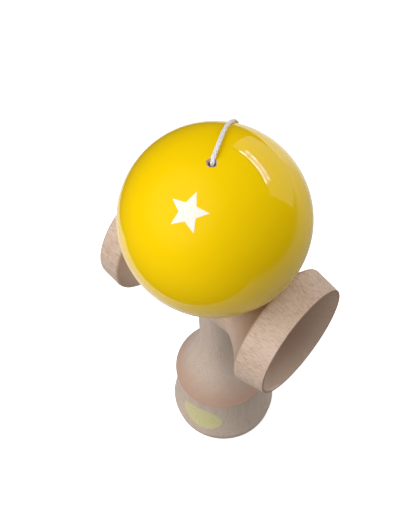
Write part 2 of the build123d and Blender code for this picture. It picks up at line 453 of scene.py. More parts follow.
@dataclass(frozen=True)
class StringFinish:
    """Off-white braided yarn with fine fibres."""

    name: str = "string_yarn"
    colour: Colour = (0.90, 0.87, 0.845, 1.0)
    soiled: Colour = (0.62, 0.58, 0.55, 1.0)

    def material(self, groups: ShaderGroups) -> Material:
        """Builds the material from the shared groups."""
        finish = Finish(self.name)
        write = finish.write
        run = write.add("ShaderNodeAttribute", attribute_name="run").outputs["Fac"]
        marks = finish.group(groups.handling)["Mask"]
        fibres = write.noise(finish.place, 5200.0, 3.0, 0.65)
        lengths = write.scaled(write.math("SINE", write.product(run, 700.0)), 0.12, 0.2)
        soil = write.math("ADD", write.product(marks, 0.35), write.product(lengths, fibres), clamp=True)
        finish.set(Base_Color=write.mix(soil, self.colour, self.soiled), Roughness=0.86)
        finish.set(Sheen_Weight=0.35, Sheen_Roughness=0.5, Specular_IOR_Level=0.25)
        finish.bump(fibres, 0.00009)
        return finish.material


# ---------------------------------------------------------------- turned shapes


def at(radius: float, height: float) -> Vector:
    """Point of an outline."""
    return Vector((radius, height))


def dish_radius(opening_radius: float, depth: float) -> float:
    """Radius of the sphere that a round dish is a part of."""
    return (opening_radius**2 + depth**2) / (2 * depth)


class Outline:
    """Outline of a turned piece: (radius, height) points in order, with rounded corners."""

    def __init__(self, radius: float, height: float) -> None:
        """Starts the outline at a point."""
        self.points = [at(radius, height)]
        self.rounding: dict[int, float] = {}

    def line(self, radius: float, height: float, rounded: float = 0.0) -> Outline:
        """Goes straight to a point, whose corner may be rounded, and returns the outline."""
        self.points.append(at(radius, height))
        if rounded:
            self.rounding[len(self.points) - 1] = rounded
        return self

    def arc_about(self, centre: Vector, end: Vector, rounded: float = 0.0, steps: int = 40) -> Outline:
        """Goes the shorter way round a centre.

        Args:
            centre: Middle of the arc's circle.
            end: Where the arc ends.
            rounded: Radius that rounds the corner at the end.
            steps: Straight pieces that the arc is made of.

        Returns:
            The outline.
        """
        start = self.points[-1] - centre
        swing = start.angle_signed(end - centre)
        for step in range(1, steps):
            self.points.append(centre + Matrix.Rotation(-swing * step / steps, 2) @ start)
        return self.line(end.x, end.y, rounded)

    def arc_through(self, passed: Vector, end: Vector, rounded: float = 0.0) -> Outline:
        """Goes round the circle through the last point, a point passed and the end."""
        first = self.points[-1]
        to_passed, to_end = passed - first, end - first
        double = 2 * (to_passed.x * to_end.y - to_passed.y * to_end.x)
        passed_square, end_square = to_passed.length_squared, to_end.length_squared
        offset = at(
            (to_end.y * passed_square - to_passed.y * end_square) / double,
            (to_passed.x * end_square - to_end.x * passed_square) / double,
        )
        return self.arc_about(first + offset, end, rounded)

    def arc_of(self, radius: float, end: Vector, side: int, rounded: float = 0.0) -> Outline:
        """Goes round a circle of a radius whose centre is on one side, 1 for left and -1 for right."""
        first = self.points[-1]
        chord = end - first
        left = at(-chord.y, chord.x).normalized()
        rise = math.sqrt(radius**2 - chord.length_squared / 4)
        return self.arc_about((first + end) / 2 + left * rise * side, end, rounded)

    def _walk(self, index: int, distance: float, step: int) -> tuple[int, Vector]:
        """Point at a distance along the outline from a corner, and the first kept point past it."""
        here, left = self.points[index], distance
        while 0 <= index + step < len(self.points):
            ahead = self.points[index + step]
            gap = (ahead - here).length
            if gap > left:
                return index + step, here.lerp(ahead, left / gap)
            left -= gap
            here, index = ahead, index + step
        return index, here

    def finished(self, longest: float = 0.0009, curve_steps: int = 8) -> list[Vector]:
        """Rounds the corners and divides long runs.

        Args:
            longest: Longest run left between two points.
            curve_steps: Straight pieces in each rounded corner.

        Returns:
            The outline's points.
        """
        cuts: dict[int, tuple[int, list[Vector]]] = {}
        for index, radius in self.rounding.items():
            corner = self.points[index]
            turn = (corner - self.points[index - 1]).angle(self.points[index + 1] - corner)
            reach = radius * math.tan(turn / 2)
            before, start = self._walk(index, reach, -1)
            after, end = self._walk(index, reach, 1)
            shares = [step / curve_steps for step in range(curve_steps + 1)]
            curve = [start.lerp(corner, share).lerp(corner.lerp(end, share), share) for share in shares]
            cuts[before + 1] = (after, curve)
        rounded: list[Vector] = []
        skip_to = 0
        for index, point in enumerate(self.points):
            if index in cuts:
                skip_to, curve = cuts[index]
                rounded += curve
            if index >= skip_to:
                rounded.append(point)
        divided = [rounded[0]]
        for point in rounded[1:]:
            first = divided[-1]
            gap = (point - first).length
            if gap >= DEGENERATE:
                pieces = max(1, math.ceil(gap / longest))
                divided += [first.lerp(point, piece / pieces) for piece in range(1, pieces + 1)]
        return divided


def mesh_object(
    name: str,
    points: Sequence[Sequence[float]],
    edges: Sequence[Sequence[int]] = (),
    faces: Sequence[Sequence[int]] = (),
) -> Piece:
    """Makes an object at the origin from points, edges and faces, and links it to the scene."""
    mesh = bpy.data.meshes.new(name)
    mesh.from_pydata([tuple(point) for point in points], edges, faces)
    made = bpy.data.objects.new(name, mesh)
    bpy.context.scene.collection.objects.link(made)
    return made


def plain_mesh(made: Piece) -> bpy.types.Mesh:
    """Makes a plain mesh of an object's modified shape, or of a curve's line."""
    bpy.context.view_layer.update()
    graph = bpy.context.evaluated_depsgraph_get()
    shape = made.evaluated_get(graph)
    return bpy.data.meshes.new_from_object(shape, preserve_all_data_layers=True, depsgraph=graph)


def settle(made: Piece) -> Piece:
    """Turns an object's modified shape into a plain mesh and removes its modifiers."""
    mesh = plain_mesh(made)
    made.modifiers.clear()
    made.data = mesh
    mesh.name = made.name
    for slot in reversed(range(len(mesh.materials))):
        if mesh.materials[slot] is None:
            mesh.materials.pop(index=slot)
    return made


def run_tree(made: Piece, tree: Tree, values: dict[str, Any]) -> Piece:
    """Runs a Geometry Nodes tree on an object and keeps the result.

    Args:
        made: Object that holds the tree's input shape.
        tree: The tree.
        values: The modifier's inputs, by name.

    Returns:
        The same object, with the plain mesh.
    """
    modifier = made.modifiers.new(tree.name, "NODES")
    modifier.node_group = tree
    for item in tree.interface.items_tree:
        if item.item_type == "SOCKET" and item.in_out == "INPUT" and item.name in values:
            modifier[item.identifier] = values[item.name]
    return settle(made)


def merge(form: bmesh.types.BMesh) -> None:
    """Merges doubled points and removes faces and edges without size."""
    bmesh.ops.remove_doubles(form, verts=form.verts, dist=MERGED)
    bmesh.ops.dissolve_degenerate(form, edges=form.edges, dist=DEGENERATE)


def tidy(made: Piece, sharp_angle: float = math.radians(32)) -> None:
    """Merges doubles, points the faces outwards and keeps only true corners sharp."""
    form = bmesh.new()
    form.from_mesh(made.data)
    merge(form)
    bmesh.ops.recalc_face_normals(form, faces=form.faces)
    for face in form.faces:
        face.smooth = True
    for edge in form.edges:
        edge.smooth = not edge.is_manifold or edge.calc_face_angle(0.0) < sharp_angle
    form.to_mesh(made.data)
    form.free()


class Lathe:
    """Turns outlines about an axis with one Geometry Nodes tree, and cuts holes in the result."""

    def __init__(self) -> None:
        """Builds the tree."""
        self.tree = self._tree()

    @staticmethod
    def _tree() -> Tree:
        """Tree that sweeps a row of points round Z: each grid column is the outline, turned further."""
        inputs = {"Outline": GEOMETRY, "Segments": INTEGER, "Material": MATERIAL}
        write = open_group("turn_outline", "GeometryNodeTree", inputs, {"Turned": GEOMETRY})
        given = write.given
        segments, outline = given["Segments"], given["Outline"]
        count = write.add("GeometryNodeAttributeDomainSize", {0: outline}, component="MESH").outputs[0]
        last = write.math("SUBTRACT", count, 1.0)
        columns = write.math("ADD", segments, 1.0)
        sides = {"Size X": segments, "Size Y": last, "Vertices X": columns, "Vertices Y": count}
        grid = write.add("GeometryNodeMeshGrid", sides).outputs["Mesh"]
        place = write.add("GeometryNodeInputPosition").outputs[0]
        column = write.scaled(segments, 0.5, write.parts(place)["X"])
        row = write.math("ROUND", write.scaled(last, 0.5, write.parts(place)["Y"]))
        wanted = {"Geometry": outline, "Value": place, "Index": row}
        sample = write.add("GeometryNodeSampleIndex", wanted, data_type="FLOAT_VECTOR", domain="POINT")
        point = write.parts(sample.outputs[0])
        angle = write.math("DIVIDE", write.product(column, FULL_TURN), segments)
        turned = {
            "X": write.product(point["X"], write.math("COSINE", angle)),
            "Y": write.product(point["X"], write.math("SINE", angle)),
            "Z": point["Z"],
        }
        spot = write.add("ShaderNodeCombineXYZ", turned).outputs[0]
        moved = write.add("GeometryNodeSetPosition", {"Geometry": grid, "Position": spot}).outputs[0]
        joined = write.add("GeometryNodeMergeByDistance", {"Geometry": moved, "Distance": 1e-6}).outputs[0]
        return write.give(Turned=write.dressed(joined, given["Material"]))

    def turn(
        self,
        name: str,
        outline: Outline,
        material: Material | None,
        place: Matrix,
        segments: int = 208,
    ) -> Piece:
        """Turns an outline about Z and puts the result in place.

        Args:
            name: The piece's name.
            outline: The outline, as radius and height.
            material: Finish of the turned surface, or None for a cutter.
            place: Matrix from the lathe's axis to the piece's place.
            segments: Flat sides round the piece.

        Returns:
            The turned piece.
        """
        points = [(point.x, 0.0, point.y) for point in outline.finished()]
        edges = [(index, index + 1) for index in range(len(points) - 1)]
        made = mesh_object(name, points, edges)
        values: dict[str, Any] = {"Segments": segments}
        if material is not None:
            values["Material"] = material
        run_tree(made, self.tree, values)
        made.data.transform(place)
        tidy(made)
        return made

    def cut(self, piece: Piece, holes: dict[str, tuple[Outline, Matrix, int]]) -> None:
        """Cuts holes in a piece.

        Args:
            piece: The piece.
            holes: Each hole's outline, place and number of sides, by the cutter's name.
        """
        cutters = [self.turn(name, outline, None, *rest) for name, (outline, *rest) in holes.items()]
        for cutter in cutters:
            modifier = piece.modifiers.new(cutter.name, "BOOLEAN")
            modifier.operation = "DIFFERENCE"
            modifier.solver = "EXACT"
            modifier.object = cutter
        settle(piece)
        for cutter in cutters:
            bpy.data.objects.remove(cutter)
        tidy(piece)


def straight_cutter(radius: float, low: float, high: float) -> Outline:
    """Outline of a plain round cutter."""
    return Outline(0.0, low).line(radius, low).line(radius, high).line(0.0, high)


def printed_patch(
    name: str,
    edge: Sequence[Vector],
    rings: int,
    place: Callable[[Vector], Vector],
    ink: Material,
) -> Piece:
    """Makes a printed patch that follows a surface, with a thin body that sinks into it.

    Args:
        name: The piece's name.
        edge: The patch's outer edge, flat and anticlockwise about its middle.
        rings: Rows of faces between the middle and the edge.
        place: Gives the point on the surface for a flat point.
        ink: The patch's finish.

    Returns:
        The closed patch.
    """
    count = len(edge)
    points = [place(spot * (ring / rings)) for ring in range(rings + 1) for spot in edge]
    faces = []
    for ring in range(rings):
        for spot in range(count):
            low, high, following = ring * count, (ring + 1) * count, (spot + 1) % count
            faces.append((low + spot, high + spot, high + following, low + following))
    piece = mesh_object(name, points, (), faces)
    form = bmesh.new()
    form.from_mesh(piece.data)
    merge(form)
    form.to_mesh(piece.data)
    form.free()
    modifier = piece.modifiers.new("body", "SOLIDIFY")
    modifier.thickness = INK_BODY
    modifier.offset = -1.0
    settle(piece)
    piece.data.materials.append(ink)
    tidy(piece)
    return piece


# ---------------------------------------------------------------- the pieces


@dataclass
class Kendama:
    """Sizes that several sub-assemblies share, in metres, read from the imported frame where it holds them."""

    axis_height: float = field(default_factory=lambda: middle("crosspiece").z)
    half_length: float = field(default_factory=lambda: across("crosspiece").x / 2)
    barrel_radius: float = 0.0120
    seat_recess: float = 0.0022
    shoulder_gap: float = 0.00015
    recess_gap: float = 0.0003
    neck_radius: float = 0.0077
    spike_root_radius: float = 0.0058
    spike_tip_radius: float = 0.0027
    spike_gap: float = 0.0001
    string_radius: float = 0.00075
    hole_radius: float = 0.00115
    tip: float = field(default_factory=lambda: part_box("handle")[1][2])

    def shoulder(self) -> float:
        """Height of the handle's shoulder, which the crosspiece sits on."""
        return self.axis_height - self.barrel_radius + self.seat_recess - self.shoulder_gap

    def spike_radius(self, height: float) -> float:
        """Radius of the spike's taper at a height."""
        share = (height - self.shoulder()) / (self.tip - self.shoulder())
        return self.spike_root_radius + (self.spike_tip_radius - self.spike_root_radius) * share

    def along_y(self) -> Matrix:
        """Matrix that lays the lathe's axis along Y, at the crosspiece's height."""
        return Matrix.Translation((0.0, 0.0, self.axis_height)) @ Matrix.Rotation(-math.pi / 2, 4, "X")


@dataclass
class Handle:
    """Turned handle: a base cup, a waisted band, a bell and neck, and the spike."""

    shared: Kendama
    rim_radius: float = 0.0199
    opening_radius: float = 0.0170
    cup_depth: float = 0.0085
    belly_radius: float = 0.0206
    belly_height: float = 0.0048
    waist_radius: float = 0.0189
    waist_height: float = 0.0155
    ridge_radius: float = 0.01845
    ridge_height: float = 0.0315
    neck_height: float = 0.0660
    knot_pocket_radius: float = 0.0019
    knot_pocket_depth: float = 0.0024
    label_azimuth: float = 12.0
    label_height: float = 0.0166
    label_width: float = 0.0180
    label_tall: float = 0.0155

    def outline(self) -> Outline:
        """Outline from the cup's floor, round the rim and up to the spike's tip."""
        shared = self.shared
        outline = Outline(0.0, self.cup_depth)
        dish = at(0.0, self.cup_depth - dish_radius(self.opening_radius, self.cup_depth))
        outline.arc_about(dish, at(self.opening_radius, 0.0), rounded=0.0004)
        outline.line(self.rim_radius, 0.0, rounded=0.0005)
        outline.line(self.belly_radius, self.belly_height, rounded=0.0025)
        waist, ridge = at(self.waist_radius, self.waist_height), at(self.ridge_radius, self.ridge_height)
        outline.arc_through(waist, ridge, rounded=0.0008)
        inward, drop = self.ridge_radius - shared.neck_radius, self.neck_height - self.ridge_height
        flare = at(shared.neck_radius + dish_radius(drop, inward), self.neck_height)
        outline.arc_about(flare, at(shared.neck_radius, self.neck_height))
        outline.line(shared.neck_radius, shared.shoulder(), rounded=0.0003)
        outline.line(shared.spike_root_radius, shared.shoulder())
        outline.line(shared.spike_tip_radius, shared.tip, rounded=0.0022)
        return outline.line(0.0, shared.tip)

    def build(self, lathe: Lathe, wood: Material) -> Piece:
        """Turns the handle and drills the hole and the pocket for the string's knot."""
        shared = self.shared
        piece = lathe.turn("handle_turned", self.outline(), wood, Matrix.Identity(4))
        at_hole = shared.spike_radius(shared.axis_height)
        reach = at_hole + 0.001
        hole = straight_cutter(shared.hole_radius, -reach, reach)
        pocket = straight_cutter(self.knot_pocket_radius, -reach, self.knot_pocket_depth - at_hole)
        sideways = shared.along_y()
        lathe.cut(piece, {"cut_hole": (hole, sideways, 72), "cut_pocket": (pocket, sideways, 72)})
        return piece

    def label(self, ink: Material) -> Piece:
        """Printed oval on the band, following its surface."""
        low, high, inner = self.belly_height, self.ridge_height, self.opening_radius
        band = [point for point in self.outline().finished() if low < point.y < high and point.x > inner]

        def place(spot: Vector) -> Vector:
            """Point on the band at a distance sideways and up from the label's middle."""
            height = self.label_height + spot.y
            below, above = next(pair for pair in zip(band, band[1:]) if pair[0].y <= height <= pair[1].y)
            radius = below.lerp(above, (height - below.y) / (above.y - below.y)).x + INK_PROUD
            angle = math.radians(self.label_azimuth) + spot.x / radius
            return Vector((radius * math.sin(angle), -radius * math.cos(angle), height))

        columns = 40
        angles = [FULL_TURN * column / columns for column in range(columns)]
        wide, tall = self.label_width / 2, self.label_tall / 2
        edge = [Vector((wide * math.cos(angle), tall * math.sin(angle))) for angle in angles]
        return printed_patch("base_label", edge, 16, place, ink)


@dataclass
class Crosspiece:
    """Turned crosspiece: a barrel that flares out to a big and a small cup."""

    shared: Kendama
    big_corner_x: float = 0.0254
    big_corner_radius: float = 0.0222
    big_rim_radius: float = 0.0205
    big_opening_radius: float = 0.0197
    big_depth: float = 0.0110
    small_corner_x: float = 0.0272
    small_corner_radius: float = 0.0214
    small_rim_radius: float = 0.0204
    small_opening_radius: float = 0.0179
    small_depth: float = 0.0090
    saddle_radius: float = 0.0304
    barrel_end: float = 0.01416
    lip: float = 0.00035
    countersink: float = 0.0004

    def outline(self) -> Outline:
        """Outline from the big cup's floor, over both flares, to the small cup's floor."""
        half, barrel, saddle = self.shared.half_length, self.shared.barrel_radius, self.saddle_radius
        big_dish = dish_radius(self.big_opening_radius, self.big_depth)
        small_dish = dish_radius(self.small_opening_radius, self.small_depth)
        big_floor, small_floor = half - self.big_depth, self.small_depth - half
        outline = Outline(0.0, big_floor)
        outline.arc_about(at(0.0, big_floor + big_dish), at(self.big_opening_radius, half), rounded=self.lip)
        outline.line(self.big_rim_radius, half, rounded=self.lip)
        outline.line(self.big_corner_radius, self.big_corner_x, rounded=0.0020)
        outline.arc_of(saddle, at(barrel, self.barrel_end), 1, rounded=0.0060)
        outline.line(barrel, -self.barrel_end, rounded=0.0060)
        outline.arc_of(saddle, at(self.small_corner_radius, -self.small_corner_x), 1, rounded=0.0015)
        outline.line(self.small_rim_radius, -half, rounded=0.0010)
        outline.line(self.small_opening_radius, -half, rounded=self.lip)
        return outline.arc_about(at(0.0, small_floor - small_dish), at(0.0, small_floor))

    def build(self, lathe: Lathe, wood: Material) -> Piece:
        """Turns the crosspiece and cuts its seat, its tapered bore and the string's hole."""
        shared, upright = self.shared, Matrix.Identity(4)
        lengthways = Matrix.Translation((0.0, 0.0, shared.axis_height)) @ Matrix.Rotation(math.pi / 2, 4, "Y")
        piece = lathe.turn("crosspiece_turned", self.outline(), wood, lengthways)
        seat_height = shared.shoulder() + shared.shoulder_gap
        past = 0.001
        seat = straight_cutter(
            shared.neck_radius + shared.recess_gap, seat_height - shared.barrel_radius, seat_height
        )
        start, top = seat_height - past, shared.axis_height + shared.barrel_radius + past
        taper = Outline(0.0, start)
        for height in (start, top):
            taper.line(shared.spike_radius(height) + shared.spike_gap, height)
        taper.line(0.0, top)
        sink, mouth = self.countersink, shared.barrel_radius
        hole = Outline(0.0, 0.0).line(shared.hole_radius, 0.0).line(shared.hole_radius, mouth - sink)
        hole.line(shared.hole_radius + 2 * sink, mouth + sink).line(0.0, mouth + sink)
        holes = {
            "cut_seat": (seat, upright, 128),
            "cut_taper": (taper, upright, 128),
            "cut_string_hole": (hole, shared.along_y(), 72),
        }
        lathe.cut(piece, holes)
        return piece


@dataclass
class Ball:
    """Lacquered ball: bored from below, with a small countersunk hole for the string in its top."""

    shared: Kendama
    centre: Vector = field(default_factory=lambda: joint_place("ball_spin"))
    radius: float = field(default_factory=lambda: across("ball").x / 2)
    bore_radius: float = 0.0082
    mouth_radius: float = 0.0142
    roof: float = 0.0110
    countersink: float = 0.00055
    film: float = 0.00005
    star_azimuth: float = 14.2
    star_elevation: float = 59.6
    star_radius: float = 0.0062
    star_waist: float = 0.45

    def top(self) -> float:
        """Height of the ball's top."""
        return self.centre.z + self.radius

    def outline(self) -> Outline:
        """Outline round the outside, down the string's hole, and back down the bore."""
        hole, sink = self.shared.hole_radius, self.countersink
        mouth_drop = math.sqrt(self.radius**2 - self.mouth_radius**2)
        hole_rise = math.sqrt(self.radius**2 - (hole + sink) ** 2)
        roof_height = self.radius - self.roof
        outline = Outline(self.mouth_radius, -mouth_drop)
        outline.arc_about(at(0.0, 0.0), at(hole + sink, hole_rise), steps=120)
        outline.line(hole, hole_rise - sink).line(hole, roof_height).line(self.bore_radius, roof_height)
        outline.line(self.bore_radius, self.mouth_radius - self.bore_radius - mouth_drop)
        return outline.line(self.mouth_radius, -mouth_drop)

    def build(self, lathe: Lathe, lacquer: Material, wood: Material) -> Piece:
        """Turns the ball, and leaves its holes as bare wood."""
        piece = lathe.turn("ball_turned", self.outline(), lacquer, Matrix.Translation(self.centre), 240)
        piece.data.materials.append(wood)
        for face in piece.data.polygons:
            face.material_index = int((face.center - self.centre).length < self.radius - self.film)
        return piece

    def star(self, ink: Material) -> Piece:
        """Printed five-pointed star that follows the ball's surface."""
        corners, between = 10, 6
        around = []
        for corner in range(corners):
            reach = self.star_radius * (1.0 if corner % 2 == 0 else self.star_waist)
            angle = FULL_TURN * corner / corners
            around.append(Vector((-reach * math.sin(angle), reach * math.cos(angle))))
        pairs = zip(around, around[1:] + around[:1])
        edge = [here.lerp(following, step / between) for here, following in pairs for step in range(between)]
        out = direction(self.star_azimuth, self.star_elevation)
        side = Vector((0.0, 0.0, 1.0)).cross(out).normalized()
        rise = out.cross(side)

        def place(spot: Vector) -> Vector:
            """Point on the ball straight out from a flat point."""
            outward = (out * self.radius + side * spot.x + rise * spot.y).normalized()
            return self.centre + outward * (self.radius + INK_PROUD)

        return printed_patch("ball_star", edge, 10, place, ink)


@dataclass
class Bead:
    """Barrel-shaped bead that the ball turns on."""

    hole_radius: float = 0.00105
    soft: float = 0.0002

    def build(self, lathe: Lathe, gloss: Material) -> Piece:
        """Turns the bead with rounded ends and a rounded hole."""
        size = across("bead")
        radius, half_height = size.x / 2, size.z / 2
        end_radius = math.sqrt(radius**2 - half_height**2)
        outline = Outline(radius, 0.0).arc_about(at(0.0, 0.0), at(end_radius, half_height), rounded=self.soft)
        outline.line(self.hole_radius, half_height, rounded=self.soft)
        outline.line(self.hole_radius, -half_height, rounded=self.soft)
        outline.line(end_radius, -half_height, rounded=self.soft)
        outline.arc_about(at(0.0, 0.0), at(radius, 0.0))
        return lathe.turn("bead_turned", outline, gloss, Matrix.Translation(middle("bead")), 96)


# ---------------------------------------------------------------- string


class Braider:
    """Braids yarns round a path with one Geometry Nodes tree: four go one way, four the other."""

    def __init__(self) -> None:
        """Builds the tree."""
        self.tree = self._tree()

    @staticmethod
    def _tree() -> Tree:
        """Tree that lays eight yarns over and under each other along a path."""
        numbers = ("Step", "Pitch", "Lay Radius", "Weave Depth", "Yarn Radius", "Core Radius", "Flatness")
        inputs = {"Path": GEOMETRY, **dict.fromkeys(numbers, FLOAT)}
        inputs |= {"Faces Away From": VECTOR, "Lean": VECTOR, "Material": MATERIAL}
        write = open_group("braid_along_path", "GeometryNodeTree", inputs, {"Braid": GEOMETRY})
        given = write.given
        line = write.add("GeometryNodeMeshToCurve", {"Mesh": given["Path"]}).outputs[0]
        spaced = write.add("GeometryNodeResampleCurve", {"Curve": line}, mode="LENGTH")
        write.feed(spaced.inputs["Length"], given["Step"])
        stored = spaced.outputs[0]
        tangent = write.add("GeometryNodeInputTangent").outputs[0]
        place = write.add("GeometryNodeInputPosition").outputs[0]
        outward = write.vector("NORMALIZE", write.vector("SUBTRACT", place, given["Faces Away From"]))
        leaning = write.vector("ADD", outward, given["Lean"])
        wide = write.vector("NORMALIZE", write.vector("CROSS_PRODUCT", tangent, leaning))
        fields = (
            ("run", "FLOAT", write.add("GeometryNodeSplineParameter").outputs["Length"]),
            ("side", "FLOAT_VECTOR", wide),
            ("ahead", "FLOAT_VECTOR", tangent),
        )
        for label, kind, value in fields:
            wanted = {"Geometry": stored, "Name": label, "Value": value}
            store = write.add("GeometryNodeStoreNamedAttribute", wanted, data_type=kind, domain="POINT")
            stored = store.outputs[0]
        yarns = {"Geometry": stored, "Amount": 8}
        copies = write.add("GeometryNodeDuplicateElements", yarns, domain="SPLINE")
        number = copies.outputs["Duplicate Index"]
        length, side, ahead = (
            write.add("GeometryNodeInputNamedAttribute", {"Name": label}, data_type=kind).outputs["Attribute"]
            for label, kind, _ in fields
        )
        way = write.scaled(write.math("GREATER_THAN", number, 3.5), -2.0, 1.0)
        run = write.math("DIVIDE", write.product(length, FULL_TURN), given["Pitch"])
        start = write.product(write.math("MODULO", number, 4.0), math.pi / 2)
        angle = write.scaled(run, way, start)
        weave = write.product(write.math("COSINE", write.product(run, 4.0)), way)
        reach = write.scaled(weave, given["Weave Depth"], given["Lay Radius"])
        up = write.vector("CROSS_PRODUCT", ahead, side)
        offsets = []
        flat_reach = write.product(reach, given["Flatness"])
        for axis, wave, far in ((side, "COSINE", reach), (up, "SINE", flat_reach)):
            scale = {0: axis, "Scale": write.product(far, write.math(wave, angle))}
            offsets.append(write.add("ShaderNodeVectorMath", scale, operation="SCALE").outputs[0])
        moved = {"Geometry": copies.outputs[0], "Offset": write.vector("ADD", *offsets)}
        laid = write.add("GeometryNodeSetPosition", moved).outputs[0]
        join = write.add("GeometryNodeJoinGeometry")
        for curve, radius in ((laid, given["Yarn Radius"]), (stored, given["Core Radius"])):
            circle = {"Resolution": 6, "Radius": radius}
            ring = write.add("GeometryNodeCurvePrimitiveCircle", circle).outputs[0]
            swept = {"Curve": curve, "Profile Curve": ring, "Fill Caps": True}
            write.feed(join.inputs[0], write.add("GeometryNodeCurveToMesh", swept).outputs[0])
        return write.give(Braid=write.dressed(join.outputs[0], given["Material"]))

    def braid(
        self,
        name: str,
        path: Sequence[Sequence[float]],
        yarn: Material,
        radius: float,
        step: float,
        pitch: float = 0.0068,
        flatness: float = 1.0,
        faces_from: Point = (0.3, 0.4, 0.5),
        lean: Point = (0.0, 0.0, 0.0),
    ) -> Piece:
        """Braids a string along a path.

        Args:
            name: The piece's name.
            path: Points that the string's middle follows.
            yarn: The string's finish.
            radius: The string's outer radius across its wide side.
            step: Distance between two rows of the mesh.
            pitch: Length in which a yarn goes once round.
            flatness: Share of the width that the braid's thickness has.
            faces_from: Point that the string's flat side faces away from.
            lean: Added to that direction, for where the string runs straight away from the point.

        Returns:
            The braided string.
        """
        made = mesh_object(name, path, [(index, index + 1) for index in range(len(path) - 1)])
        yarn_radius, weave = 0.31 * radius, 0.11 * radius
        values = {
            "Step": step,
            "Pitch": pitch,
            "Lay Radius": radius - yarn_radius - weave,
            "Weave Depth": weave,
            "Yarn Radius": yarn_radius,
            "Core Radius": 0.50 * radius * flatness,
            "Flatness": flatness,
            "Material": yarn,
            "Faces Away From": faces_from,
            "Lean": lean,
        }
        return run_tree(made, self.tree, values)


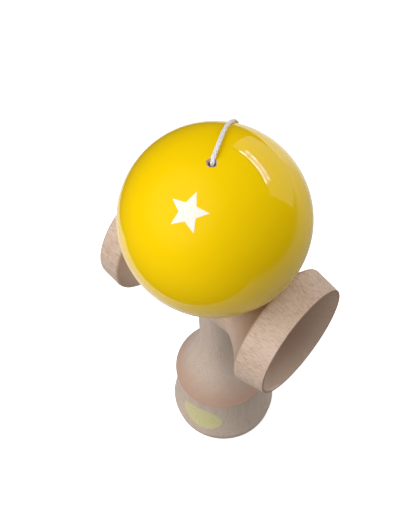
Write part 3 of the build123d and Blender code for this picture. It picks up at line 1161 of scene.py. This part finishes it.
@dataclass
class String:
    """The string: from the knot under the bead, out of the ball, down behind it, into the crosspiece."""

    shared: Kendama
    ball: Ball
    route: tuple[Point, ...] = (
        (0.0, 0.0, 0.1675),
        (0.0, 0.0, 0.1706),
        (-0.0023, 0.0054, 0.1701),
        (-0.0061, 0.0128, 0.1673),
        (-0.0093, 0.0195, 0.1616),
        (-0.0117, 0.0245, 0.1545),
        (-0.0132, 0.0274, 0.1460),
        (-0.0135, 0.0285, 0.1340),
        (-0.0127, 0.0302, 0.1140),
        (-0.0136, 0.0309, 0.0820),
        (-0.0159, 0.0324, 0.0540),
        (-0.0204, 0.0352, 0.0310),
        (-0.0268, 0.0389, 0.0125),
        (-0.0352, 0.0430, 0.0024),
        (-0.0440, 0.0493, 0.00085),
        (-0.0446, 0.0585, 0.0008),
        (-0.0360, 0.0610, 0.00085),
        (-0.0274, 0.0562, 0.0014),
        (-0.0218, 0.0472, 0.0072),
        (-0.0160, 0.0380, 0.0210),
        (-0.0096, 0.0302, 0.0400),
        (-0.0050, 0.0260, 0.0620),
        (-0.0024, 0.0242, 0.0820),
        (-0.0010, 0.0216, 0.0946),
        (-0.0003, 0.0174, 0.1000),
        (0.0, 0.0123, 0.1006),
    )
    smoothness: int = 24
    spread: float = 0.98
    flatness: float = 0.52
    lean: Point = (0.05, -0.14, 0.0)

    def path(self) -> list[Point]:
        """Points along the smooth line that the outer string hangs in."""
        curve = bpy.data.curves.new("string_line", "CURVE")
        curve.dimensions = "3D"
        curve.resolution_u = self.smoothness
        spline = curve.splines.new("NURBS")
        spline.points.add(len(self.route) - 1)
        for point, place in zip(spline.points, self.route):
            point.co = (*place, 1.0)
        spline.order_u = 3
        spline.use_endpoint_u = True
        line = bpy.data.objects.new("string_line", curve)
        bpy.context.scene.collection.objects.link(line)
        points = [tuple(vertex.co) for vertex in plain_mesh(line).vertices]
        bpy.data.objects.remove(line)
        return points

    @staticmethod
    def knot(braider: Braider, name: str, yarn: Material, place: Matrix, node: str) -> Piece:
        """Overhand knot, drawn tight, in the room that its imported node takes.

        Args:
            braider: Makes the braid.
            name: The piece's name.
            yarn: The string's finish.
            place: Turns the knot's own Z along the string, and puts it in its middle.
            node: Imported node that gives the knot's size.

        Returns:
            The knot.
        """
        height, _, width = (size / 2 for size in sorted(across(node)))
        thin = 0.40 * width
        wide, tall, steps = (width - thin) / 3, height - thin, 96
        points = []
        for step in range(steps + 1):
            angle = FULL_TURN * step / steps
            x = wide * (math.sin(angle) + 2 * math.sin(2 * angle))
            y = wide * (math.cos(angle) - 2 * math.cos(2 * angle))
            points.append(place @ Vector((x, y, -tall * math.sin(3 * angle))))
        return braider.braid(name, points, yarn, thin, 0.00012, 0.0030)

    @staticmethod
    def rides(piece: Piece, body: str, node: str) -> None:
        """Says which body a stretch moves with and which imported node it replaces."""
        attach(piece, body)
        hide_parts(node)

    @staticmethod
    def line(start: Vector, end: Vector, pieces: int = 12) -> list[Vector]:
        """Points on a straight stretch of string."""
        return [start.lerp(end, piece / pieces) for piece in range(pieces + 1)]

    def outside(self, braider: Braider, yarn: Material, carried: list[Piece]) -> Piece:
        """Builds the stretch from the ball's top to the crosspiece.

        Args:
            braider: Makes the braid.
            yarn: The string's finish.
            carried: The pieces at the string's other end. Not used.

        Returns:
            The stretch.
        """
        shared, centre, path = self.shared, tuple(self.ball.centre), self.path()
        length = sum((Vector(after) - Vector(before)).length for before, after in zip(path, path[1:]))
        shape = {"flatness": self.flatness, "faces_from": centre, "lean": self.lean}
        radius = self.spread * shared.string_radius
        piece = braider.braid("string_outside", path, yarn, radius, 0.00026, **shape)
        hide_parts("string_run")
        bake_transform(piece)
        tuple(centre)
        self.ball.top()
        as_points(path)
        log.info("string outside the ball: %.1f mm", 1000 * length)
        return piece

    def threaded(self, braider: Braider, yarn: Material) -> Piece:
        """Builds the stretch from the crosspiece's hole through the spike."""
        shared = self.shared
        run = self.line(middle("handle_knot"), Vector(self.route[-1]), 60)
        piece = braider.braid("string_through_spike", run, yarn, shared.string_radius, 0.00006)
        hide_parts("string_in_crosspiece", "string_in_handle")
        surface = shared.spike_radius(shared.axis_height)
        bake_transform(piece)
        return piece

    def build(self, braider: Braider, yarn: Material, bead: Piece) -> list[Piece]:
        """Builds every stretch of the string and its knots, and says how the knots and the stretch in the ball
        move.
        """
        below_bead, in_handle = middle("bead_knot"), middle("handle_knot")
        run = self.line(below_bead, Vector(self.route[0]))
        inside = braider.braid("string_inside_ball", run, yarn, self.shared.string_radius, 0.0003)
        self.rides(inside, "bead", "string_in_ball")
        knot = self.knot(braider, "bead_knot_tied", yarn, Matrix.Translation(below_bead), "bead_knot")
        self.rides(knot, "bead", "bead_knot")
        outside = self.outside(braider, yarn, [bead, knot, inside])
        threaded = self.threaded(braider, yarn)
        across_spike = Matrix.Translation(in_handle) @ Matrix.Rotation(math.pi / 2, 4, "X")
        end_knot = self.knot(braider, "spike_knot_tied", yarn, across_spike, "handle_knot")
        self.rides(end_knot, "handle", "handle_knot")
        return [inside, knot, outside, threaded, end_knot]


# ---------------------------------------------------------------- studio


@dataclass(frozen=True)
class SoftLight:
    """A rectangular light that faces a point."""

    name: str
    azimuth: float
    elevation: float
    distance: float
    width: float
    height: float
    brightness: float
    reflected: bool

    def build(self, aim: Vector) -> None:
        """Places the light, as bright as its brightness says over its whole face."""
        light = bpy.data.lights.new(self.name, "AREA")
        light.shape = "RECTANGLE"
        light.size, light.size_y = self.width, self.height
        light.energy = self.brightness * math.pi * self.width * self.height
        lamp = bpy.data.objects.new(self.name, light)
        bpy.context.scene.collection.objects.link(lamp)
        out = direction(self.azimuth, self.elevation)
        lamp.location = aim + out * self.distance
        lamp.rotation_euler = out.to_track_quat("Z", "Y").to_euler()
        lamp.visible_camera = False
        lamp.visible_glossy = self.reflected


@dataclass
class Studio:
    """Pale floor, soft lights and the camera."""

    camera_azimuth: float = 43.84
    camera_elevation: float = 60.13
    camera_distance: float = 0.3267
    camera_roll: float = -3.775
    camera_aim: Point = (-0.0021, -0.0020, 0.1152)
    lens: float = 69.43
    floor_half: float = 6.0
    floor_cells: int = 8
    floor_white: Colour = (0.88, 0.88, 0.88, 1.0)
    floor_dark: Colour = (0.03, 0.03, 0.03, 1.0)
    floor_glow: float = 0.62
    sheet_low: tuple[float, float] = (-0.19, -0.105)
    sheet_high: tuple[float, float] = (0.34, 0.95)
    sheet_soft: float = 0.006
    sheet_fading: float = 0.13
    key_azimuth: float = -30.0
    key_elevation: float = 50.0

    def build(self, aim: Vector) -> None:
        """Builds the whole studio round a point to light."""
        self.floor()
        self.world()
        self.lights(aim)
        self.camera()
        bpy.context.scene.view_settings.view_transform = "Standard"

    def floor(self) -> None:
        """Wide white floor. Only the sheet near the object is bright in reflections, and painted shade darkens
        its +X side in reflections and bounced light.
        """
        cells = self.floor_cells
        steps = [self.floor_half * (2 * step / cells - 1) for step in range(cells + 1)]
        firsts = [row * (cells + 1) + column for row in range(cells) for column in range(cells)]
        faces = [(first, first + 1, first + cells + 2, first + cells + 1) for first in firsts]
        floor = mesh_object("floor", [(x, y, 0.0) for y in steps for x in steps], (), faces)
        finish = Finish("white_floor")
        write = finish.write
        parts = write.parts(finish.place)
        rays = write.add("ShaderNodeLightPath").outputs
        seen, bounced = rays["Is Camera Ray"], rays["Is Diffuse Ray"]
        bounds = []
        for axis, low, high in zip("XY", self.sheet_low, self.sheet_high):
            soft, fading = self.sheet_soft, self.sheet_fading
            bounds.append(write.ramp(parts[axis], low - soft, low + soft))
            bounds.append(write.ramp(parts[axis], high - fading, high + fading, 1.0, 0.0))
        # Painted shade: the sheet is darker on its +X side, standing in for the key light's fall-off across
        # the floor
        far_side_painted_shade = write.ramp(parts["X"], -0.06, 0.05, 1.0, 0.50)
        bright = write.product(*bounds, write.scaled(bounced, -0.65, 1.0), far_side_painted_shade)
        colour = write.mix(write.math("MAXIMUM", bright, seen), self.floor_dark, self.floor_white)
        finish.set(Base_Color=colour, Roughness=0.9, Specular_IOR_Level=0.0)
        glow = write.product(seen, self.floor_glow)
        finish.set(Emission_Color=(1.0, 1.0, 1.0, 1.0), Emission_Strength=glow)
        floor.data.materials.append(finish.material)

    def world(self) -> None:
        """Even soft surroundings, dim where they are mirrored, so that the lacquer stays deep."""
        world = bpy.data.worlds.new("soft_room")
        bpy.context.scene.world = world
        world.use_nodes = True
        write = NodeWriter(world.node_tree)
        way = write.add("ShaderNodeTexCoord").outputs["Generated"]
        key = tuple(direction(self.key_azimuth, self.key_elevation))
        towards_key = write.vector("DOT_PRODUCT", way, key)
        diffuse = write.scaled(write.ramp(towards_key, -0.35, 1.0), 0.58, 0.05)
        mirrored = write.scaled(write.ramp(towards_key, 0.60, 1.0), 0.30, 0.01)
        rays = write.add("ShaderNodeLightPath").outputs
        lit = write.scaled(rays["Is Glossy Ray"], write.math("SUBTRACT", mirrored, diffuse), diffuse)
        strength = write.math("MAXIMUM", lit, write.product(rays["Is Camera Ray"], 1.1))
        background = world.node_tree.nodes["Background"].inputs
        write.feed(background["Color"], (1.0, 1.0, 1.0, 1.0))
        write.feed(background["Strength"], strength)

    def lights(self, aim: Vector) -> None:
        """Large soft key, fills in front and behind, and a softbox behind with two thin tubes above it."""
        lights = (
            SoftLight("key", self.key_azimuth, self.key_elevation, 0.9, 0.8, 0.8, 2.7, False),
            SoftLight("front_fill", 18.0, 14.0, 0.9, 0.90, 0.40, 1.75, False),
            SoftLight("back_fill", 155.0, 5.0, 0.9, 0.70, 0.30, 3.5, False),
            SoftLight("softbox", 172.5, 9.5, 1.0, 1.18, 0.80, 0.66, True),
            SoftLight("tube_low", 174.5, 25.9, 0.96, 0.60, 0.005, 66.0, True),
            SoftLight("tube_high", 174.5, 31.6, 0.96, 0.70, 0.005, 66.0, True),
        )
        for light in lights:
            light.build(aim)

    def camera(self) -> None:
        """Places the camera above the ball, looking down past it."""
        data = bpy.data.cameras.new("camera")
        data.lens = self.lens
        data.sensor_width = 36.0
        data.clip_start = 0.01
        camera = bpy.data.objects.new("camera", data)
        bpy.context.scene.collection.objects.link(camera)
        back = direction(self.camera_azimuth, self.camera_elevation)
        right = Vector((0.0, 0.0, 1.0)).cross(back).normalized()
        upright = Matrix((right, back.cross(right), back)).transposed()
        facing = upright @ Matrix.Rotation(math.radians(self.camera_roll), 3, "Z")
        place = Vector(self.camera_aim) + back * self.camera_distance
        camera.matrix_world = Matrix.Translation(place) @ facing.to_4x4()
        bpy.context.scene.camera = camera


# ---------------------------------------------------------------- assembly


def dress(piece: Piece, body: str, slot: str, *nodes: str) -> None:
    """Says which body a piece moves with and what it replaces."""
    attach(piece, body)
    if nodes:
        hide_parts(*nodes)
    log.info("%s: %d faces, on %s", piece.name, len(piece.data.polygons), body)


def main() -> None:
    """Builds the pieces in order, then the studio."""
    shared = Kendama()
    groups = ShaderGroups()
    lathe, braider = Lathe(), Braider()
    handle_wood = BeechFinish(
        "handle_beech",
        Grain.ALONG_Z,
        pale=(0.66, 0.54, 0.445, 1.0),
        dark=(0.53, 0.41, 0.325, 1.0),
        fleck_strength=0.30,
        band=WarmBand(),
    ).material(groups)
    cross_wood = BeechFinish("crosspiece_beech", Grain.ALONG_X).material(groups)
    ball_wood = BeechFinish("ball_beech", Grain.ALONG_X, fleck_strength=0.4).material(groups)
    lacquer = LacquerFinish().material(groups)
    white_ink = InkFinish("white_ink", (0.93, 0.91, 0.84, 1.0), (0.93, 0.85, 0.55, 1.0)).material()
    label_ink = InkFinish("label_ink", (0.68, 0.63, 0.31, 1.0), (0.60, 0.50, 0.32, 1.0), 0.55).material()
    yarn = StringFinish().material(groups)

    handle = Handle(shared)
    dress(handle.build(lathe, handle_wood), "handle", "handle_wood", "handle")
    dress(handle.label(label_ink), "handle", "handle_wood")
    dress(Crosspiece(shared).build(lathe, cross_wood), "crosspiece", "crosspiece_wood", "crosspiece")
    ball = Ball(shared)
    dress(ball.build(lathe, lacquer, ball_wood), "ball", "ball_lacquer", "ball")
    dress(ball.star(white_ink), "ball", "ball_lacquer")
    bead = Bead().build(lathe, BeadFinish().material(groups))
    dress(bead, "bead", "bead", "bead")
    for stretch in String(shared, ball).build(braider, yarn, bead):
        log.info("%s: %d faces", stretch.name, len(stretch.data.polygons))
    Studio().build(ball.centre)


if __name__ == "__main__":
    main()
